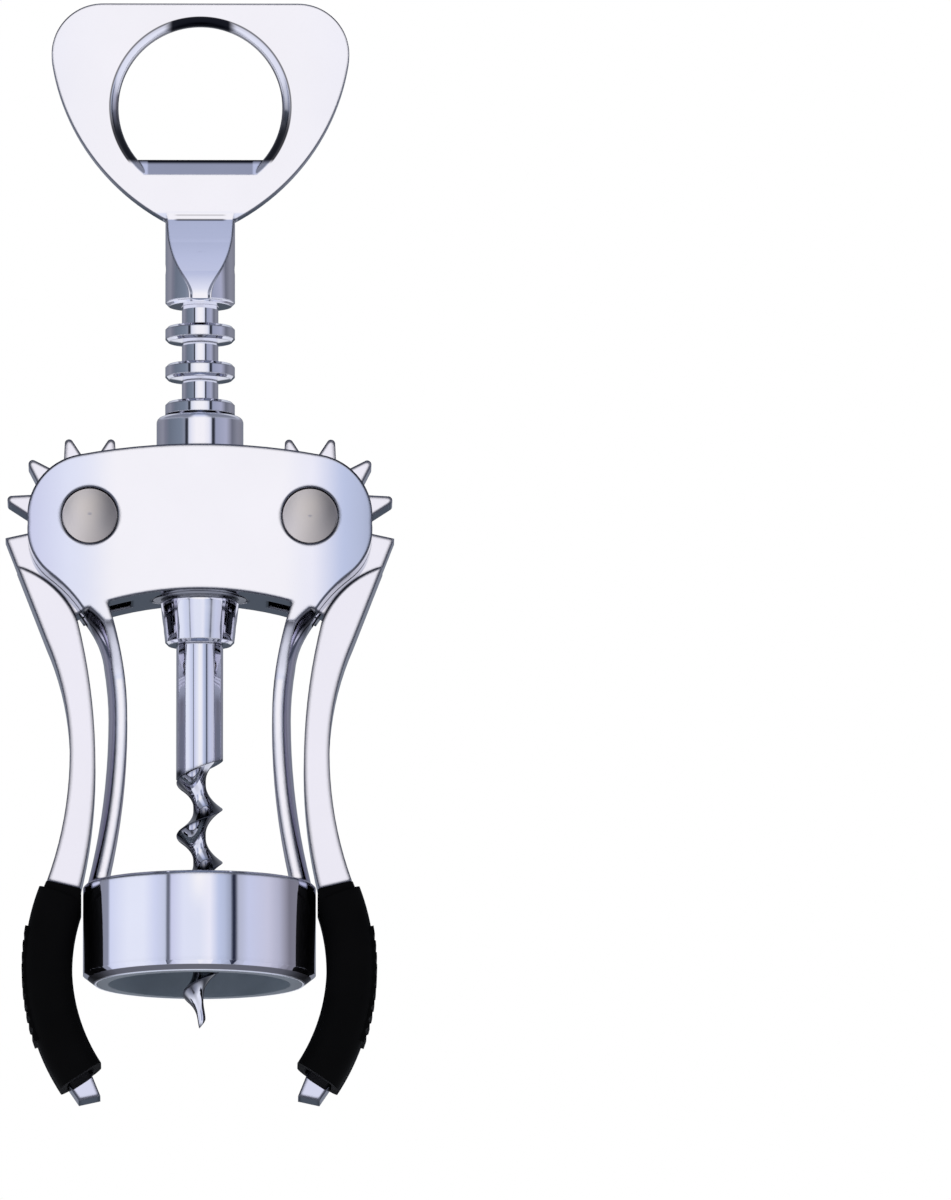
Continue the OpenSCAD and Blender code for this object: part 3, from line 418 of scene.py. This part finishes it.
# across: painted shade, the rivet heads darker toward one side
satin = metal("satin_nickel", (0.86, 0.79, 0.73), 0.3, edge=0.0, line=0.0,
              swell=swell_of_rivet, across=(0.36, 0.33, 0.31), grain=0.1, grain_scale=1500.0)
rubber = plastic("black_rubber", (0.001, 0.001, 0.0011), (0.002, 0.002, 0.0023), 0.7,
                 grain_scale=2600.0, grain=0.35, specular=0.04)
liner = plastic("liner_plastic", (0.125, 0.155, 0.195), (0.155, 0.19, 0.235), 0.45,
                grain_scale=1500.0, grain=0.15)
ivory = plastic("washer_plastic", (0.50, 0.50, 0.48), (0.62, 0.62, 0.60), 0.5,
                grain_scale=1500.0, grain=0.1)

dress(casting, "frame")
dress(plate, "opener_handle")
dress(lever, "wing_left", "wing_right")
dress(bright, "rack")
dress(dull, "guide_bush")
dress(satin, "pivot_pin_left", "pivot_pin_right", "pivot_cap_left", "pivot_cap_right",
      "worm_pin", "handle_pin")
dress(rubber, "grip_left", "grip_right")
dress(liner, "bell_liner")
dress(ivory, "washers_left", "washers_right")


# The worm, in millimetres and degrees, smooth where the CAD solid has facets
MM = 0.001
WORM_R, WORM_CORE, WORM_TAPER = 4.05, 1.1, 2.6
WORM_PITCH, WORM_TIP, WORM_END = 9.4, -7.7, 41.45
WORM_PHASE, WORM_GROW = 26.2, 0.7
WORM_SIDES, WORM_RINGS_A_TURN, POINT_SHARE = 64, 48, 0.2
SHANK_R, SHANK_Z, SHANK_TOP, SHANK_SLANT = 4.1, 37.85, 60.0, 22.4
SHANK_SIDES, SMOOTH_BELOW = 96, 50


def deselect():
    if bpy.context.object and bpy.context.object.mode != "OBJECT":
        bpy.ops.object.mode_set(mode="OBJECT")
    bpy.ops.object.select_all(action="DESELECT")


def worm_blade():
    """A section with one sharp edge, twisted round the axis and drawn in to the point."""
    rings = round((WORM_END - WORM_TIP) / WORM_PITCH * WORM_RINGS_A_TURN)
    rise = (WORM_END - WORM_TIP) / rings
    points, faces = [], []
    for i in range(rings + 1):
        z = WORM_TIP + max(i, POINT_SHARE) * rise
        grown = min(1, (z - WORM_TIP) / WORM_PITCH) ** WORM_GROW
        start = math.radians(180 + (z - WORM_PHASE) / WORM_PITCH * 360)
        for j in range(WORM_SIDES):
            turn = min(j, WORM_SIDES - j) / (WORM_SIDES / 2)
            r = grown * (WORM_CORE + (WORM_R - WORM_CORE) * (1 - turn) ** WORM_TAPER)
            a = start + j * math.tau / WORM_SIDES
            points.append((r * math.cos(a) * MM, r * math.sin(a) * MM,
                           (z if i else WORM_TIP) * MM))
    for i in range(rings):
        low, high = i * WORM_SIDES, (i + 1) * WORM_SIDES
        for j in range(WORM_SIDES):
            k = (j + 1) % WORM_SIDES
            faces.append((low + j, low + k, high + k, high + j))
    faces.append(tuple(reversed(range(WORM_SIDES))))
    faces.append(tuple(rings * WORM_SIDES + j for j in range(WORM_SIDES)))
    mesh = bpy.data.meshes.new("worm_blade")
    mesh.from_pydata(points, [], faces)
    blade = bpy.data.objects.new("worm_blade", mesh)
    scene.collection.objects.link(blade)
    return blade


def worm_shank():
    """The plain shank, cut on a slant at its lower end."""
    height = SHANK_TOP - SHANK_Z + SHANK_R
    middle = (SHANK_TOP + SHANK_Z - SHANK_R) / 2
    bpy.ops.mesh.primitive_cylinder_add(
        vertices=SHANK_SIDES, radius=SHANK_R * MM, depth=height * MM,
        location=(0, 0, middle * MM))
    shank = bpy.context.active_object
    shank.name = "worm_shank"
    tilt = math.radians(SHANK_SLANT)
    bpy.ops.object.mode_set(mode="EDIT")
    bpy.ops.mesh.select_all(action="SELECT")
    bpy.ops.mesh.bisect(
        plane_co=(0, 0, SHANK_Z * MM), plane_no=(-math.sin(tilt), 0, math.cos(tilt)),
        use_fill=True, clear_inner=True)
    bpy.ops.object.mode_set(mode="OBJECT")
    bpy.ops.object.transform_apply(location=True, rotation=True, scale=True)
    return shank


def make_worm():
    deselect()
    shank = worm_shank()
    blade = worm_blade()
    blade.select_set(True)
    shank.select_set(True)
    bpy.context.view_layer.objects.active = shank
    bpy.ops.object.join()
    worm = bpy.context.active_object
    worm.name = "worm_smooth"
    bpy.ops.object.shade_smooth_by_angle(angle=math.radians(SMOOTH_BELOW))
    worm.data.materials.clear()
    worm.data.materials.append(screw)
    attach(worm, "spindle")
    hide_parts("worm")


# Studio tent that the metal shows, by turn from the front in degrees, level with the object
WHITE = (1.0, 0.995, 1.01)
LEVEL = [
    (-180, (0.20, 0.22, 0.27)), (-126, (0.24, 0.25, 0.31)), (-105, (0.27, 0.29, 0.37)),
    (-102, (0.68, 0.73, 0.92)), (-75, (0.84, 0.88, 1.00)), (-57, (0.84, 0.88, 1.00)),
    (-44, (0.68, 0.73, 0.92)), (-34, (0.60, 0.65, 0.80)), (-32, (0.12, 0.135, 0.18)),
    (-30, (0.12, 0.135, 0.18)), (-28, (0.64, 0.67, 0.86)), (-16, (0.80, 0.84, 0.98)),
    (0, (0.80, 0.84, 0.96)), (10, (0.90, 0.91, 1.00)), (19, (0.56, 0.63, 0.83)),
    (25, (0.50, 0.56, 0.73)), (31, (0.34, 0.38, 0.50)), (33, (0.02, 0.025, 0.05)),
    (36, (0.02, 0.025, 0.05)), (39, (0.48, 0.51, 0.63)), (50, (0.61, 0.65, 0.84)),
    (72, (0.61, 0.62, 0.76)), (86, (0.47, 0.48, 0.60)), (97, (0.30, 0.30, 0.37)),
    (103, (0.20, 0.20, 0.25)), (126, (0.24, 0.24, 0.29)), (180, (0.20, 0.22, 0.27))]
# The same higher up, where the tent's sides are darker than its front panel
UPPER = [
    (-180, (0.20, 0.205, 0.245)), (-140, (0.27, 0.28, 0.34)), (-118, (0.27, 0.28, 0.34)),
    (-106, (0.20, 0.21, 0.27)), (-90, (0.155, 0.185, 0.24)), (-52, (0.20, 0.24, 0.31)),
    (-42, (0.26, 0.29, 0.37)), (-39, (0.03, 0.035, 0.05)), (-33, (0.03, 0.035, 0.05)),
    (-30, (0.70, 0.74, 0.86)), (-22, (0.88, 0.89, 0.96)), (-10, (1.0, 0.99, 1.01)),
    (10, (1.0, 0.99, 1.01)), (24, (0.88, 0.89, 0.96)), (30, (0.60, 0.64, 0.78)),
    (33, (0.03, 0.035, 0.05)), (39, (0.03, 0.035, 0.05)), (43, (0.34, 0.37, 0.50)),
    (75, (0.42, 0.44, 0.58)), (88, (0.28, 0.29, 0.37)), (96, (0.16, 0.17, 0.22)),
    (106, (0.20, 0.21, 0.26)), (118, (0.25, 0.26, 0.32)), (140, (0.27, 0.28, 0.34)),
    (180, (0.20, 0.205, 0.245))]
# Outside those two bands, by height in degrees, ahead, toward the sides and behind
AHEAD = [
    (-90, (0.04, 0.042, 0.055)), (-71, (0.06, 0.063, 0.08)), (-61, (0.46, 0.48, 0.56)),
    (-40, (0.68, 0.70, 0.79)), (-12, (0.74, 0.76, 0.85)), (-3, (0.82, 0.84, 0.94)),
    (20, (0.95, 0.96, 1.0)), (28, (0.80, 0.83, 0.95)), (55, (0.53, 0.58, 0.77)),
    (75, (0.22, 0.27, 0.40)), (90, (0.16, 0.20, 0.30))]
ASIDE = [
    (-90, (0.05, 0.052, 0.07)), (-70, (0.30, 0.32, 0.40)), (-45, (0.86, 0.89, 1.00)),
    (-5, (0.80, 0.83, 0.95)), (20, (0.40, 0.43, 0.52)), (32, (0.22, 0.24, 0.30)),
    (60, (0.22, 0.24, 0.31)), (78, (0.16, 0.20, 0.30)), (90, (0.16, 0.20, 0.30))]
BEHIND = [
    (-90, (0.04, 0.042, 0.055)), (-70, (0.20, 0.21, 0.26)), (-45, (0.66, 0.69, 0.79)),
    (-16, (0.78, 0.80, 0.88)), (-13.5, (0.70, 0.72, 0.80)), (-12, (0.09, 0.105, 0.13)),
    (-4, (0.06, 0.075, 0.10)), (4, (0.20, 0.22, 0.27)), (14, (0.20, 0.22, 0.27)),
    (24, (0.45, 0.48, 0.56)), (45, (0.66, 0.69, 0.79)), (65, (0.45, 0.48, 0.58)),
    (78, (0.16, 0.19, 0.28)), (90, (0.16, 0.20, 0.30))]
# Turns, and below them heights, where these parts of the tent give way to one another
AHEAD_TO_ASIDE, ASIDE_TO_BEHIND = (12.0, 34.0), (118.0, 145.0)
BANDS_START, LEVEL_TO_UPPER, BANDS_END = (-2.0, 3.0), (10.5, 12.5), (17.0, 21.0)
# The brightest panel, straight ahead of the plates: its height, half width and half height
PANEL_RISE, PANEL_W, PANEL_H = 9.2, 9.0, 2.6


def tent_colour(t):
    x, y, z = t.add("ShaderNodeSeparateXYZ", {
        "Vector": t.add("ShaderNodeTexCoord").outputs["Generated"]}).outputs
    turn = t.times(t.math("ARCTAN2", x, t.times(y, -1.0)), 180 / math.pi)
    rise = t.times(t.math("ARCSINE", z), 180 / math.pi)

    def by(angle, full, stops):
        share = t.math("MULTIPLY_ADD", angle, 1 / full, 0.5)
        return t.ramp(share, [(a / full + 0.5, colour) for a, colour in stops])

    away = t.size(turn)
    far = t.mix(t.span(away, *AHEAD_TO_ASIDE), by(rise, 180, AHEAD), by(rise, 180, ASIDE))
    far = t.mix(t.span(away, *ASIDE_TO_BEHIND), far, by(rise, 180, BEHIND))
    bands = t.mix(t.span(rise, *LEVEL_TO_UPPER), by(turn, 360, LEVEL), by(turn, 360, UPPER))
    inside = t.times(t.span(rise, *BANDS_START), t.span(rise, *BANDS_END, 1.0, 0.0))
    aside = t.math("DIVIDE", turn, PANEL_W)
    over = t.math("DIVIDE", t.less(rise, PANEL_RISE), PANEL_H)
    spread = t.plus(t.math("POWER", aside, 2.0), t.math("POWER", over, 4.0))
    panel = t.math("EXPONENT", t.times(spread, -1.0))
    return t.mix(panel, t.mix(inside, far, bands), WHITE)


def add_world():
    """A background that is white where it is seen, while metal shows the tent instead."""
    world = bpy.data.worlds.new("studio")
    world.use_nodes = True
    scene.world = world
    t = Tree(world.node_tree)
    tent, soft, plain = [
        t.add("ShaderNodeBackground", {"Color": colour, "Strength": 1.0}).outputs[0]
        for colour in (tent_colour(t), (0.92, 0.925, 0.94, 1), (1, 1, 1, 1))]
    path = t.add("ShaderNodeLightPath").outputs
    seen = t.most(path["Is Camera Ray"], path["Is Transmission Ray"])
    lit = t.add("ShaderNodeMixShader", {0: path["Is Glossy Ray"], 1: soft, 2: tent}).outputs[0]
    out = t.add("ShaderNodeMixShader", {0: seen, 1: lit, 2: plain}).outputs[0]
    t.add("ShaderNodeOutputWorld", {"Surface": out})


# Soft lamps, which the metal doesn't show: place, size in metres and power in watts
LAMPS = {"key": ((-0.9, -1.2, 1.3), (0.9, 0.9), 10), "fill": ((1.2, -0.9, 0.5), (0.8, 1.2), 4)}
LAMPS_AIM = Vector((0, 0, 0.08))
FLOOR_Z, FLOOR_SIZE = -1.0, 6


def add_lamps():
    for name, (place, size, power) in LAMPS.items():
        data = bpy.data.lights.new(name, "AREA")
        data.shape = "RECTANGLE"
        data.size, data.size_y = size
        data.energy = power
        lamp = bpy.data.objects.new(name, data)
        lamp.location = place
        lamp.rotation_euler = (LAMPS_AIM - Vector(place)).to_track_quat("-Z", "Y").to_euler()
        lamp.visible_glossy = False
        scene.collection.objects.link(lamp)


def add_floor():
    deselect()
    bpy.ops.mesh.primitive_plane_add(size=FLOOR_SIZE, location=(0, 0, FLOOR_Z))
    floor = bpy.context.active_object
    floor.name = "floor"
    floor.visible_glossy = False
    material, t = new_material("pale_floor")
    cloud = t.noise(t.here(), 2.0, 2.0)
    tint = t.ramp(cloud, [(0.3, (0.84, 0.84, 0.85)), (0.7, (0.88, 0.88, 0.89))])
    shader = t.add("ShaderNodeBsdfPrincipled", {"Base Color": tint, "Roughness": 0.8})
    t.add("ShaderNodeOutputMaterial", {"Surface": shader.outputs[0]})
    floor.data.materials.append(material)


make_worm()
add_camera()
add_world()
add_lamps()
add_floor()
scene.view_settings.view_transform = "Standard"
